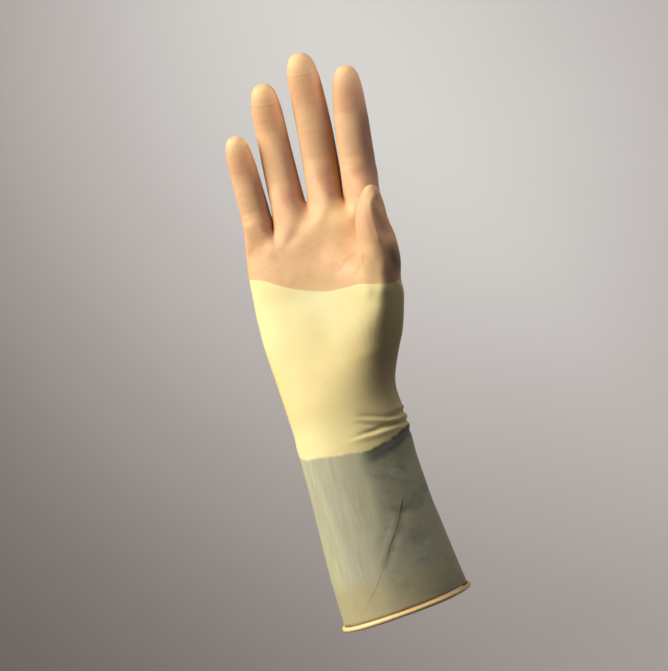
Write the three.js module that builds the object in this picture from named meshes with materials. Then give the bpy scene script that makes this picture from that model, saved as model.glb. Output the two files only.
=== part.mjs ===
// A long right-handed latex surgical glove in its filled-out form: open fingers, the thumb a little forward,
// a smooth wrist with two folds, and a sleeve that ends in a rolled bead. The film is hollow from the bead to
// each fingertip. It is one film, kept here as two solids that meet at the heel of the hand: the sleeve with
// the wrist, and the hand.
// Millimetres. The origin is the centre of the sleeve's opening, +Z runs up the sleeve, the palm faces -Y and
// the thumb is on the +X side.
import * as THREE from "three";

// Driving dimensions.
const WALL = 1.0; // thickness of the film
const BEAD_RADIUS = 1.4; // the rolled edge
const BEAD_OUTWARD = 0.7; // how far the roll stands out from the middle of the film
const BEAD_GAP = 0.32; // between the film's end and the roll
const BEAD_SIDES = 8;
const SLEEVE_END = BEAD_RADIUS + BEAD_GAP; // height of the film's lower edge above the origin
const SEAM_HEIGHT = 130; // where the sleeve and the hand meet, at one of the sections
const SEAM_GAP = 0.3; // between them
const CUFF_SLOPE = 0.035; // how much the lower edge rises towards the thumb side
const AROUND = 20; // points in one ring of the sleeve and palm
const DIGIT_AROUND = 8; // points in one ring of a finger
const TIP_LENGTH = 18; // the part of a finger whose sections are alike on short and long fingers

// Where the points of a ring stand, as shares of its half width, from the thumb side over the back to the
// little-finger side. The palm side repeats them in reverse.
const SPREAD = [1, 0.93, 0.76, 0.54, 0.27, 0, -0.27, -0.55, -0.78, -0.94, -1];

// Sections of the sleeve and the palm. left and right are the outline seen from the palm, palm and back are
// the depths on each side, and square is 2 for an ellipse and more for a flatter form. lean brings the thumb
// side forward, as a slope.
const SECTIONS = [
  { z: SLEEVE_END, left: -35.0, right: 35.2, palm: 28.5, back: 28.5, square: 2.0 },
  { z: 26, left: -34.3, right: 33.2, palm: 26.3, back: 26.5, square: 2.0 },
  { z: 52, left: -32.6, right: 31.1, palm: 23.6, back: 24.2, square: 2.0 },
  { z: 75, left: -31.0, right: 30.6, palm: 21.6, back: 22.2, square: 2.0, lean: 0.02 },
  { z: 91, left: -30.2, right: 31.4, palm: 20.5, back: 20.7, square: 2.05, lean: 0.07 },
  { z: 95, left: -30.1, right: 31.6, palm: 20.2, back: 20.3, square: 2.05, lean: 0.09 },
  { z: 99, left: -30.0, right: 31.6, palm: 19.9, back: 19.9, square: 2.05, lean: 0.11 },
  { z: 103, left: -29.6, right: 31.5, palm: 19.6, back: 19.4, square: 2.05, lean: 0.12 },
  { z: 108, left: -29.4, right: 31.2, palm: 19.2, back: 18.8, square: 2.05, lean: 0.13 },
  { z: 118, left: -29.4, right: 32.0, palm: 18.4, back: 17.8, square: 2.1, lean: 0.15 },
  { z: 130, left: -29.6, right: 37.2, palm: 17.2, back: 16.8, square: 2.15, lean: 0.18 },
  { z: 143, left: -29.8, right: 44.2, palm: 16.0, back: 16.0, square: 2.2, lean: 0.2 },
  { z: 154, left: -30.0, right: 48.2, palm: 15.0, back: 15.4, square: 2.4, lean: 0.22 },
  { z: 165, left: -29.6, right: 50.7, palm: 14.6, back: 15.0, square: 2.5, lean: 0.25 },
  { z: 176, left: -28.8, right: 52.0, palm: 14.4, back: 14.6, square: 2.5, lean: 0.28 },
  { z: 187, left: -27.6, right: 50.0, palm: 14.2, back: 14.2, square: 2.5, lean: 0.28 },
  { z: 198, left: -26.4, right: 52.4, palm: 14.4, back: 13.8, square: 2.5, lean: 0.28 },
  { z: 208, left: -24.9, right: 53.8, palm: 14.4, back: 13.6, square: 2.4, lean: 0.28 },
];
const ARC_START = 148; // height from which the rings begin to follow the row where the fingers begin
const ARC_POWER = 1.5; // how late they do so
const THUMB_SECTION = 14; // the section above which the thumb is its own tube
const FINGERS_HEIGHT = 216; // mean height of the row where the fingers begin
const PALM_LEAN = 0.28; // the lean of the palm and the fingers
const PALM_MIDDLE = 12; // x about which they lean

// The ball of the thumb: how far it stands out of each section and at which x, and how far the section's edge
// on the thumb side comes forward with it.
const BALL = [
  { z: 108, height: 0.4, at: 15, droop: 0 },
  { z: 118, height: 1.2, at: 17, droop: 0 },
  { z: 130, height: 3.0, at: 20, droop: 0 },
  { z: 143, height: 6.0, at: 29.5, droop: 0 },
  { z: 154, height: 10.0, at: 36.5, droop: 3 },
  { z: 165, height: 14.0, at: 42, droop: 7 },
  { z: 176, height: 13.0, at: 42, droop: 9 },
  { z: 187, height: 6.0, at: 39, droop: 0 },
];
const BALL_SPREAD = { palm: 21, side: 15 }; // how wide it is towards the palm and towards the edge

// The row where the fingers begin: at each side of each finger a point on the back, in the crotch and on the
// palm, and between them the middle of the finger on the back and on the palm. All are given without lean.
const FINGER_SIDES = [
  { back: [52.4, 7.6, 214.5], crotch: [55.0, 0.5, 216.5], palm: [52.8, -7.8, 216] },
  { back: [35.6, 8.6, 211.5], crotch: [35.6, 0.0, 219.8], palm: [35.4, -9.6, 214.5] },
  { back: [15.8, 9.2, 213.5], crotch: [16.6, 0.6, 223.8], palm: [16.0, -9.6, 218] },
  { back: [-5.4, 7.6, 206.5], crotch: [-5.2, -1.2, 215.6], palm: [-5.6, -10.2, 210] },
  { back: [-20.4, 3.6, 207.5], crotch: [-23.2, -3.4, 209], palm: [-20.4, -9.6, 209.5] },
];
const FINGER_MIDDLES = [
  { back: [46.2, 11.6, 217], palm: [45.6, -12.2, 218.5] },
  { back: [26.0, 13.0, 219], palm: [26.2, -12.6, 220.5] },
  { back: [5.2, 11.4, 216.5], palm: [5.4, -12.6, 217.5] },
  { back: [-13.6, 7.0, 210.5], palm: [-13.4, -11.8, 212.5] },
];

// The fingers: tip, middle joint and root of the centre line without lean, and the widths at those places.
const FINGERS = [
  { name: "index", tip: [57.6, -6.5, 285.0], joint: [51.8, 0.6, 254], root: [46.4, 0.2, 222] },
  { name: "middle", tip: [36.0, -8.2, 299.4], joint: [32.0, 2.0, 257], root: [27.0, 1.2, 224] },
  { name: "ring", tip: [12.5, -8.5, 290.2], joint: [8.9, 0.4, 256], root: [6.0, -0.2, 221] },
  { name: "little", tip: [-10.3, -12.5, 268.3], joint: [-11.3, -4.6, 243], root: [-12.9, -3.2, 215] },
];
const FINGER_WIDTHS = {
  index: { tip: 15.9, joint: 18.5, root: 19.8 },
  middle: { tip: 17.2, joint: 19.0, root: 19.5 },
  ring: { tip: 16.4, joint: 17.3, root: 19.0 },
  little: { tip: 15.0, joint: 15.3, root: 16.8 },
};

// Sections of a finger from its tip down. Each lies at the distance mm plus share times what is left of the
// finger's length. wide, pad and back are shares of half the finger's width.
const FINGER_ROWS = [
  { name: "cap", mm: 0.9, share: 0, wide: 0.45, pad: 0.43, back: 0.37 },
  { name: "end", mm: 4.0, share: 0, wide: 0.735, pad: 0.71, back: 0.6 },
  { name: "pad", mm: 9.6, share: 0, wide: 0.905, pad: 0.88, back: 0.75 },
  { name: "below the pad", mm: 17.0, share: 0, wide: 0.98, pad: 0.92, back: 0.86 },
  { name: "upper crease", mm: TIP_LENGTH, share: 0.2, wide: 1.0, pad: 0.89, back: 0.9 },
  { name: "middle", mm: TIP_LENGTH, share: 0.43, wide: 1.0, pad: 0.92, back: 0.91 },
  { name: "lower crease", mm: TIP_LENGTH, share: 0.67, wide: 1.0, pad: 0.94, back: 0.95 },
  { name: "root", mm: TIP_LENGTH, share: 0.9, wide: 1.0, pad: 1.02, back: 0.98 },
];
const FINGER_SQUARE = 2.1;

// The thumb from the ball to its tip. wide is half its width, back and pad are its depths on those sides,
// turn is the direction that its back faces, in degrees from +X towards +Y, and square as above.
const THUMB = [
  { name: "root", at: [43.0, -29.8, 176], wide: 10.3, back: 10.0, pad: 9.8, turn: 312, square: 2.3 },
  { name: "crease", at: [44.8, -33.6, 190], wide: 9.4, back: 8.6, pad: 8.4, turn: 311, square: 2.6 },
  { name: "below the pad", at: [45.1, -36.2, 199.5], wide: 8.8, back: 7.8, pad: 7.9, turn: 310, square: 2.8 },
  { name: "pad", at: [46.1, -37.9, 207.5], wide: 7.9, back: 6.8, pad: 7.0, turn: 310, square: 2.7 },
  { name: "end", at: [47.6, -39.1, 214.4], wide: 6.2, back: 5.8, pad: 5.3, turn: 310, square: 2.4 },
  { name: "cap", at: [49.2, -39.7, 218.6], wide: 3.6, back: 3.5, pad: 2.9, turn: 310, square: 2.1 },
];
const THUMB_TIP = [49.5, -39.9, 220.2];

// The points that the last ring below the thumb shares with it: the direction of each from the thumb's
// centre, in degrees, and its distance there in thumb radii.
const THUMB_POINTS = [
  { point: 17, turn: 195, reach: 1.2 },
  { point: 18, turn: 226, reach: 1.04 },
  { point: 19, turn: 266, reach: 1.08 },
  { point: 0, turn: 314, reach: 1.04 },
  { point: 1, turn: 24, reach: 1.06 },
];
// The crest of the web between thumb and palm, from the palm side to the back.
const THUMB_WEB = [
  [34.0, -29.0, 184.5],
  [41.0, -22.0, 188],
  [47.5, -16.0, 184],
];

// Folds at the wrist, on the thumb side: height at the side and at the palm, depth (positive is a ridge),
// half width, and the range of direction round the sleeve where the fold shows, with how softly it ends.
const FOLDS = [
  { name: "upper crease", side: 101.4, palm: 105.5, depth: -0.9, half: 2.2, from: -95, to: 48, soft: 30 },
  { name: "ridge", side: 97.2, palm: 99.6, depth: 1.1, half: 2.3, from: -88, to: 54, soft: 32 },
  { name: "lower crease", side: 93.0, palm: 95.0, depth: -0.8, half: 2.0, from: -108, to: 56, soft: 30 },
];

// Shallow valleys of the palm, each along a line from one x and z to another.
const PALM_FOLDS = [
  { name: "below the last web", from: [-8, 212], to: [-17.5, 202.5], depth: -0.8, half: 4.2 },
  { name: "below the third web", from: [11, 217], to: [-3, 206], depth: -1.1, half: 4.6 },
  { name: "below the first web", from: [31, 216], to: [19, 205], depth: -0.7, half: 4.6 },
  { name: "round the ball", from: [32, 190], to: [16, 179], depth: -0.9, half: 4.4 },
];

const degrees = (value) => (value * Math.PI) / 180;
const mix = (a, b, t) => a + (b - a) * t;
const vector = (list) => new THREE.Vector3(...list);

// A mesh of quads, as points and faces of four point numbers each.
function newMesh() {
  return { points: [], faces: [] };
}

function addPoints(mesh, points) {
  return points.map((p) => mesh.points.push(p) - 1);
}

// Joins a lower loop to an upper one of as many points, both anticlockwise seen from above.
function bridge(mesh, lower, upper) {
  const count = lower.length;
  for (let i = 0; i < count; i++) {
    const next = (i + 1) % count;
    mesh.faces.push([lower[i], lower[next], upper[next], upper[i]]);
  }
}

// Closes a loop of eight points with four quads round a point at the tip.
function closeTip(mesh, loop, tip) {
  const [centre] = addPoints(mesh, [tip]);
  for (let i = 0; i < loop.length; i += 2) {
    mesh.faces.push([loop[i], loop[i + 1], loop[(i + 2) % loop.length], centre]);
  }
}

// The y of a point on a flattened ring at a share of its half width.
function ringDepth(share, depth, square) {
  return depth * Math.pow(Math.max(0, 1 - Math.pow(Math.abs(share), square)), 1 / square);
}

// A point of a digit's section, at an angle from the section's first axis.
function sectionPoint(centre, first, second, angle, reach) {
  const c = Math.cos(angle);
  const s = Math.sin(angle);
  const a = c > 0 ? reach.first : reach.firstBack;
  const b = s > 0 ? reach.second : reach.secondBack;
  const { square } = reach;
  const scale = Math.pow(Math.pow(Math.abs(c), square) + Math.pow(Math.abs(s), square), -1 / square);
  return centre
    .clone()
    .addScaledVector(first, a * c * scale)
    .addScaledVector(second, b * s * scale);
}

// The 20 points where the fingers begin, in the order of a ring, and the crotches between the fingers.
function fingersRowPoints() {
  const ring = [];
  ring.push(FINGER_SIDES[0].crotch);
  for (let i = 0; i < FINGERS.length; i++) {
    ring.push(FINGER_SIDES[i].back, FINGER_MIDDLES[i].back);
  }
  ring.push(FINGER_SIDES[4].back, FINGER_SIDES[4].crotch, FINGER_SIDES[4].palm);
  for (let i = FINGERS.length - 1; i >= 0; i--) {
    ring.push(FINGER_MIDDLES[i].palm, FINGER_SIDES[i].palm);
  }
  return ring.map(leaned);
}

// A point given without lean, moved to where it stands on the leaning palm.
function leaned(list) {
  const point = vector(list);
  point.y -= PALM_LEAN * (point.x - PALM_MIDDLE);
  return point;
}

// The ring of one section of the sleeve or palm.
function sectionRing(row, fingersRow) {
  const { z, left, right, palm, back, square, lean = 0 } = row;
  const ball = BALL.find((other) => other.z === z) ?? { height: 0, at: 0, droop: 0 };
  const middle = (left + right) / 2;
  const half = (right - left) / 2;
  const above = THREE.MathUtils.clamp((z - ARC_START) / (FINGERS_HEIGHT - ARC_START), 0, 1);
  const arc = Math.pow(above, ARC_POWER);
  const points = [];
  for (let k = 0; k < AROUND; k++) {
    const share = SPREAD[k <= AROUND / 2 ? k : AROUND - k];
    const onPalm = k > AROUND / 2;
    const x = middle + half * share;
    const depth = ringDepth(share, onPalm ? palm : back, square);
    const away = (x - ball.at) / (x < ball.at ? BALL_SPREAD.palm : BALL_SPREAD.side);
    const rise = onPalm || k === 0 ? ball.height * Math.exp(-away * away) : 0;
    const forward = lean * (x - middle) + rise + ball.droop * Math.pow(Math.max(0, share), 3);
    const y = (onPalm ? -depth : depth) - forward;
    const slope = z === SLEEVE_END ? CUFF_SLOPE * x : 0;
    points.push(new THREE.Vector3(x, y, z + slope + arc * (fingersRow[k].z - FINGERS_HEIGHT)));
  }
  return points;
}

// Moves the points that the thumb shares with a ring to where its tube begins.
function openForThumb(points) {
  const { at, wide } = THUMB[0];
  for (const { point, turn, reach } of THUMB_POINTS) {
    const x = at[0] + wide * reach * Math.cos(degrees(turn));
    const y = at[1] + wide * reach * Math.sin(degrees(turn));
    points[point].set(x, y, at[2]);
  }
}

// A finger's centre line: a quadratic curve through its tip, joint and root.
function fingerLine(finger) {
  const [tip, joint, root] = [finger.tip, finger.joint, finger.root].map(leaned);
  const control = joint.clone().multiplyScalar(2).addScaledVector(tip, -0.5).addScaledVector(root, -0.5);
  return new THREE.QuadraticBezierCurve3(tip, control, root);
}

function fingerRing(finger, line, length, row) {
  const t = (row.mm + row.share * (length - TIP_LENGTH)) / length;
  const centre = line.getPointAt(t);
  const along = line.getTangentAt(t).negate();
  const side = new THREE.Vector3(PALM_LEAN, 1, 0).cross(along).normalize();
  const back = along.clone().cross(side).normalize();
  const { tip, joint, root } = FINGER_WIDTHS[finger.name];
  const half = (t < 0.5 ? mix(tip, joint, 2 * t) : mix(joint, root, 2 * t - 1)) / 2;
  const reach = {
    first: half * row.wide,
    firstBack: half * row.wide,
    second: half * row.back,
    secondBack: half * row.pad,
    square: FINGER_SQUARE,
  };
  const points = [];
  for (let i = 0; i < DIGIT_AROUND; i++) {
    points.push(sectionPoint(centre, side, back, degrees((360 * i) / DIGIT_AROUND), reach));
  }
  return points;
}

// A ring of the thumb above the web. Its points begin at the thumb's back.
function thumbRing(index) {
  const row = THUMB[index];
  const centre = vector(row.at);
  const before = vector(THUMB[index - 1].at);
  const after = index + 1 < THUMB.length ? vector(THUMB[index + 1].at) : vector(THUMB_TIP);
  const along = after.sub(before).normalize();
  const back = new THREE.Vector3(Math.cos(degrees(row.turn)), Math.sin(degrees(row.turn)), 0);
  back.addScaledVector(along, -back.dot(along)).normalize();
  const side = along.clone().cross(back).normalize();
  const reach = {
    first: row.back,
    firstBack: row.pad,
    second: row.wide,
    secondBack: row.wide,
    square: row.square,
  };
  const points = [];
  for (let i = 0; i < DIGIT_AROUND; i++) {
    points.push(sectionPoint(centre, back, side, degrees((360 * i) / DIGIT_AROUND), reach));
  }
  return points;
}

// The whole glove as a coarse mesh whose points the smooth surface is to pass through.
function gloveCage() {
  const mesh = newMesh();
  const fingersRow = fingersRowPoints();
  const rings = SECTIONS.map((row) => sectionRing(row, fingersRow));
  openForThumb(rings[THUMB_SECTION]);
  let below = addPoints(mesh, rings[0]);
  for (let i = 1; i <= THUMB_SECTION; i++) {
    const ring = addPoints(mesh, rings[i]);
    bridge(mesh, below, ring);
    below = ring;
  }
  const web = addPoints(mesh, THUMB_WEB.map(vector));
  let thumb = [below[0], below[1], web[2], web[1], web[0], below[17], below[18], below[19]];
  below = [web[2], ...below.slice(1, 18), web[0], web[1]];
  for (let i = THUMB_SECTION + 1; i < SECTIONS.length; i++) {
    const ring = addPoints(mesh, rings[i]);
    bridge(mesh, below, ring);
    below = ring;
  }
  const row = addPoints(mesh, fingersRow);
  bridge(mesh, below, row);
  const crotches = addPoints(mesh, FINGER_SIDES.slice(1, 4).map((side) => leaned(side.crotch)));
  const inner = [row[0], ...crotches, row[10]];
  FINGERS.forEach((finger, i) => {
    const back = row.slice(1 + 2 * i, 4 + 2 * i);
    const palm = [0, 1, 2].map((j) => row[17 - 2 * i + j]);
    let loop = [inner[i], ...back, inner[i + 1], ...palm];
    const line = fingerLine(finger);
    const length = line.getLength();
    for (const section of [...FINGER_ROWS].reverse()) {
      const ring = addPoints(mesh, fingerRing(finger, line, length, section));
      bridge(mesh, loop, ring);
      loop = ring;
    }
    closeTip(mesh, loop, leaned(finger.tip));
  });
  for (let i = 1; i < THUMB.length; i++) {
    const ring = addPoints(mesh, thumbRing(i));
    bridge(mesh, thumb, ring);
    thumb = ring;
  }
  closeTip(mesh, thumb, vector(THUMB_TIP));
  return mesh;
}

// What touches what in a mesh of quads: for each point its edge neighbours, the far corners of its faces
// and, on the open edge, its two neighbours along that edge.
function neighbours(mesh) {
  const edges = new Map();
  const key = (a, b) => (a < b ? a + "_" + b : b + "_" + a);
  mesh.faces.forEach((face, f) => {
    face.forEach((a, i) => {
      const b = face[(i + 1) % 4];
      const k = key(a, b);
      if (!edges.has(k)) edges.set(k, { ends: [a, b], faces: [] });
      edges.get(k).faces.push(f);
    });
  });
  const around = mesh.points.map(() => ({ near: [], far: [], faces: [], rim: [] }));
  for (const { ends, faces } of edges.values()) {
    around[ends[0]].near.push(ends[1]);
    around[ends[1]].near.push(ends[0]);
    if (faces.length === 1) {
      around[ends[0]].rim.push(ends[1]);
      around[ends[1]].rim.push(ends[0]);
    }
  }
  mesh.faces.forEach((face, f) => {
    face.forEach((a, i) => {
      around[a].far.push(face[(i + 2) % 4]);
      around[a].faces.push(f);
    });
  });
  return { edges, around, key };
}

function weighted(points, list, weight, into) {
  for (const i of list) into.addScaledVector(points[i], weight);
  return into;
}

// Where each point of the mesh ends up on the smooth Catmull-Clark surface.
function limitPoints(points, around) {
  return points.map((p, i) => {
    const { near, far, rim } = around[i];
    if (rim.length) return weighted(points, rim, 1 / 6, p.clone().multiplyScalar(4 / 6));
    const n = near.length;
    const total = n * (n + 5);
    const sum = p.clone().multiplyScalar((n * n) / total);
    weighted(points, near, 4 / total, sum);
    return weighted(points, far, 1 / total, sum);
  });
}

// Moves the coarse points until the smooth surface passes through where they first stood.
function fitThrough(mesh) {
  const { around } = neighbours(mesh);
  const targets = mesh.points;
  let points = targets.map((p) => p.clone());
  const rounds = 14;
  for (let round = 0; round < rounds; round++) {
    const limit = limitPoints(points, around);
    points = points.map((p, i) => p.clone().add(targets[i]).sub(limit[i]));
  }
  return { points, faces: mesh.faces };
}

// One round of Catmull-Clark subdivision.
function subdivide(mesh) {
  const { edges, around, key } = neighbours(mesh);
  const facePoints = mesh.faces.map((face) => weighted(mesh.points, face, 1 / 4, new THREE.Vector3()));
  const moved = mesh.points.map((p, i) => {
    const { near, faces, rim } = around[i];
    if (rim.length) return weighted(mesh.points, rim, 1 / 8, p.clone().multiplyScalar(6 / 8));
    const n = near.length;
    const sum = p.clone().multiplyScalar((n - 2) / n);
    weighted(mesh.points, near, 1 / (n * n), sum);
    return weighted(facePoints, faces, 1 / (n * n), sum);
  });
  const points = [...moved, ...facePoints];
  const edgeNumber = new Map();
  for (const [k, { ends, faces }] of edges) {
    const share = faces.length === 2 ? 1 / 4 : 1 / 2;
    const p = weighted(mesh.points, ends, share, new THREE.Vector3());
    if (faces.length === 2) weighted(facePoints, faces, share, p);
    edgeNumber.set(k, points.push(p) - 1);
  }
  const faces = [];
  mesh.faces.forEach((face, f) => {
    face.forEach((a, i) => {
      const next = edgeNumber.get(key(a, face[(i + 1) % 4]));
      const previous = edgeNumber.get(key(face[(i + 3) % 4], a));
      faces.push([a, next, mesh.points.length + f, previous]);
    });
  });
  return { points, faces };
}

function normalsOf(mesh) {
  const normals = mesh.points.map(() => new THREE.Vector3());
  for (const face of mesh.faces) {
    const [a, b, c, d] = face.map((i) => mesh.points[i]);
    const normal = c.clone().sub(a).cross(d.clone().sub(b));
    for (const i of face) normals[i].add(normal);
  }
  return normals.map((n) => n.normalize());
}

// 1 inside a range of direction, falling softly to 0 beyond its ends.
function softRange(angle, from, to, soft) {
  const outside = Math.max(from - angle, angle - to, 0);
  return Math.exp(-Math.pow(outside / soft, 2) * 3);
}

// How far the folds at the wrist lift or sink the film at a point. Directions run from -180 to 180, with the
// thumb side at 0 and the palm at -90.
function wristFolds(p) {
  const angle = (Math.atan2(p.y, p.x) * 180) / Math.PI;
  const towardsPalm = THREE.MathUtils.clamp(-angle / 90, 0, 1);
  let height = 0;
  for (const fold of FOLDS) {
    const level = fold.side + (fold.palm - fold.side) * towardsPalm;
    const across = (p.z - level) / fold.half;
    height += fold.depth * Math.exp(-across * across) * softRange(angle, fold.from, fold.to, fold.soft);
  }
  return height;
}

// How far the valleys of the palm sink the film at a point whose normal is given.
function palmFolds(p, normal) {
  const facing = THREE.MathUtils.clamp(-1.5 * normal.y, 0, 1);
  let height = 0;
  for (const fold of PALM_FOLDS) {
    const [x, z] = fold.from;
    const run = [fold.to[0] - x, fold.to[1] - z];
    const share = ((p.x - x) * run[0] + (p.z - z) * run[1]) / (run[0] ** 2 + run[1] ** 2);
    const t = THREE.MathUtils.clamp(share, 0, 1);
    const away = Math.hypot(p.x - x - run[0] * t, p.z - z - run[1] * t) / fold.half;
    height += fold.depth * facing * Math.exp(-away * away);
  }
  return height;
}

// The smooth outer surface of the film, with its folds.
function outerSurface() {
  const mesh = subdivide(fitThrough(gloveCage()));
  mesh.points = limitPoints(mesh.points, neighbours(mesh).around);
  const normals = normalsOf(mesh);
  mesh.points.forEach((p, i) => {
    p.addScaledVector(normals[i], wristFolds(p) + palmFolds(p, normals[i]));
  });
  mesh.normals = normalsOf(mesh);
  return mesh;
}

// The faces below and above the height where the sleeve and the hand meet, told by their middles.
function splitAtSeam(mesh) {
  const parts = { sleeve: [], hand: [] };
  for (const face of mesh.faces) {
    const middle = weighted(mesh.points, face, 1 / 4, new THREE.Vector3());
    (middle.z < SEAM_HEIGHT ? parts.sleeve : parts.hand).push(face);
  }
  return parts;
}

// The open edges of some faces, each as point numbers in order, in the direction of its faces.
function rimsOf(faces) {
  const next = new Map();
  const inside = new Set();
  for (const face of faces) {
    face.forEach((a, i) => inside.add(face[(i + 1) % 4] + "_" + a));
  }
  for (const face of faces) {
    face.forEach((a, i) => {
      const b = face[(i + 1) % 4];
      if (!inside.has(a + "_" + b)) next.set(a, b);
    });
  }
  const rims = [];
  while (next.size) {
    const rim = [];
    for (let a = next.keys().next().value; next.has(a); ) {
      const b = next.get(a);
      rim.push(a);
      next.delete(a);
      a = b;
    }
    rims.push(rim);
  }
  return rims;
}

// Triangles from quads, each split along its shorter diagonal. Points that no face uses are left out.
function geometryOf(points, faces) {
  const used = [...new Set(faces.flat())];
  const number = new Map(used.map((old, i) => [old, i]));
  const index = [];
  for (const face of faces) {
    const [a, b, c, d] = face.map((i) => number.get(i));
    const short = points[face[0]].distanceTo(points[face[2]]) <= points[face[1]].distanceTo(points[face[3]]);
    if (short) index.push(a, b, c, a, c, d);
    else index.push(a, b, d, b, c, d);
  }
  const geometry = new THREE.BufferGeometry();
  const positions = used.flatMap((i) => points[i].toArray());
  geometry.setAttribute("position", new THREE.Float32BufferAttribute(positions, 3));
  geometry.setIndex(index);
  geometry.computeVertexNormals();
  return geometry;
}

// Part of the film as a closed solid: its outer surface, the same surface one wall further in, and its cut
// edges. The edge at the seam is moved by shift.
function shellGeometry(outer, part, shift) {
  const count = outer.points.length;
  const normals = outer.normals;
  const points = outer.points.map((p) => p.clone());
  const inner = points.map((p, i) => p.clone().addScaledVector(normals[i], -WALL));
  const faces = [...part, ...part.map((face) => face.map((i) => i + count).reverse())];
  for (const rim of rimsOf(part)) {
    const atSeam = points[rim[0]].z > SEAM_HEIGHT / 2;
    rim.forEach((a, i) => {
      const b = rim[(i + 1) % rim.length];
      points[a].z += atSeam ? shift : 0;
      inner[a].z = points[a].z;
      faces.push([b, a, a + count, b + count]);
    });
  }
  return geometryOf([...points, ...inner], faces);
}

// The rolled bead: a round section carried along the sleeve's open edge.
function beadGeometry(outer) {
  const rim = rimsOf(outer.faces)[0].map((i) => outer.points[i]);
  const points = [];
  const faces = [];
  rim.forEach((p, i) => {
    const along = rim[(i + 1) % rim.length].clone().sub(rim[(i + rim.length - 1) % rim.length]);
    const outward = new THREE.Vector3(along.y, -along.x, 0).normalize();
    const centre = new THREE.Vector3(p.x, p.y, p.z - SLEEVE_END);
    centre.addScaledVector(outward, BEAD_OUTWARD - WALL / 2);
    for (let j = 0; j < BEAD_SIDES; j++) {
      const angle = degrees((360 * (j + 0.5)) / BEAD_SIDES);
      const point = centre.clone().addScaledVector(outward, BEAD_RADIUS * Math.cos(angle));
      point.z += BEAD_RADIUS * Math.sin(angle);
      points.push(point);
      const nextRing = ((i + 1) % rim.length) * BEAD_SIDES;
      const nextSide = (j + 1) % BEAD_SIDES;
      faces.push([i * BEAD_SIDES + j, nextRing + j, nextRing + nextSide, i * BEAD_SIDES + nextSide]);
    }
  });
  return geometryOf(points, faces);
}

function meshOf(name, geometry, material) {
  const mesh = new THREE.Mesh(geometry, material);
  mesh.name = name;
  return mesh;
}

const filmMaterial = new THREE.MeshStandardMaterial({ color: 0xe8cf9a, roughness: 0.5, metalness: 0 });
const beadMaterial = new THREE.MeshStandardMaterial({ color: 0xe6bd6e, roughness: 0.45, metalness: 0 });

const outer = outerSurface();
const { sleeve, hand } = splitAtSeam(outer);

const glove = new THREE.Group();
glove.add(
  meshOf("hand_film", shellGeometry(outer, hand, SEAM_GAP / 2), filmMaterial),
  meshOf("sleeve_film", shellGeometry(outer, sleeve, -SEAM_GAP / 2), filmMaterial),
  meshOf("cuff_bead", beadGeometry(outer), beadMaterial),
);

export default glove;
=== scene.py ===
import math

import bpy
import numpy as np
from mathutils import Matrix, Vector, noise


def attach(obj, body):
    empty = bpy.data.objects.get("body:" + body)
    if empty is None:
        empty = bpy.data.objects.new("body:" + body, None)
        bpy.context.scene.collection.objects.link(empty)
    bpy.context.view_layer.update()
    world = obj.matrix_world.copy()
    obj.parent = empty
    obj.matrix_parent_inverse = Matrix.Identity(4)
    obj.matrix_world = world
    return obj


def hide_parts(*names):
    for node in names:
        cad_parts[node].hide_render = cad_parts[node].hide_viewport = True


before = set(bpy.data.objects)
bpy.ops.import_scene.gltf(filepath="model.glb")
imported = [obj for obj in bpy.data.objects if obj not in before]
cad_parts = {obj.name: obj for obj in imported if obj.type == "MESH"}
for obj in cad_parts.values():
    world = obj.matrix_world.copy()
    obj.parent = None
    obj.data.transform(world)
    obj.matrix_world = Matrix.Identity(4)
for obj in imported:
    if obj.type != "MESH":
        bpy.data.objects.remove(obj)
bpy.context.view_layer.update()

MM = 0.001

# Driving dimensions, as in the part.
WALL = 1
BEAD_RADIUS = 1.4
BEAD_OUTWARD = 0.7
BEAD_GAP = 0.32
BEAD_SIDES = 16
SLEEVE_END = BEAD_RADIUS + BEAD_GAP
CUFF_SLOPE = 0.035
AROUND = 20
DIGIT_AROUND = 8
TIP_LENGTH = 18
# How far across a section its points lie, from the thumb's side round the back.
SPREAD = (1, 0.93, 0.76, 0.54, 0.27, 0, -0.27, -0.55, -0.78, -0.94, -1)
ARC_START = 148
ARC_POWER = 1.5
FINGERS_HEIGHT = 216
PALM_LEAN = 0.28
PALM_MIDDLE = 12
BALL_SPREAD = {"palm": 21, "side": 15}
FINGER_SQUARE = 2.1
# Sections below the palm that are further apart than this get one more between them.
LONG_STEP = 12
OUTER_LEVEL = 3
INNER_LEVEL = 2


def table(columns, *rows):
    """Rows as dictionaries with named columns."""
    names = columns.split()
    return [dict(zip(names, row)) for row in rows]


# Sections of the sleeve and palm, with the ball of the thumb at its heights.
SECTIONS = table(
    "z left right palm back square lean",
    (SLEEVE_END, -35, 35.2, 28.5, 28.5, 2, 0),
    (26, -34.3, 33.2, 26.3, 26.5, 2, 0),
    (52, -32.6, 31.1, 23.6, 24.2, 2, 0),
    (75, -31, 30.6, 21.6, 22.2, 2, 0.02),
    (91, -30.2, 31.4, 20.5, 20.7, 2.05, 0.07),
    (95, -30.1, 31.6, 20.2, 20.3, 2.05, 0.09),
    (99, -30, 31.6, 19.9, 19.9, 2.05, 0.11),
    (103, -29.6, 31.5, 19.6, 19.4, 2.05, 0.12),
    (108, -29.4, 31.2, 19.2, 18.8, 2.05, 0.13),
    (118, -29.4, 32, 18.4, 17.8, 2.1, 0.15),
    (130, -29.6, 37.2, 17.2, 16.8, 2.15, 0.18),
    (143, -29.8, 44.2, 16, 16, 2.2, 0.2),
    (154, -30, 48.2, 15, 15.4, 2.4, 0.22),
    (165, -29.6, 50.7, 14.6, 15, 2.5, 0.25),
    (176, -28.8, 52, 14.4, 14.6, 2.5, 0.28),
    (187, -27.6, 50, 14.2, 14.2, 2.5, 0.28),
    (198, -26.4, 52.4, 14.4, 13.8, 2.5, 0.28),
    (208, -24.9, 53.8, 14.4, 13.6, 2.4, 0.28),
)
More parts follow.
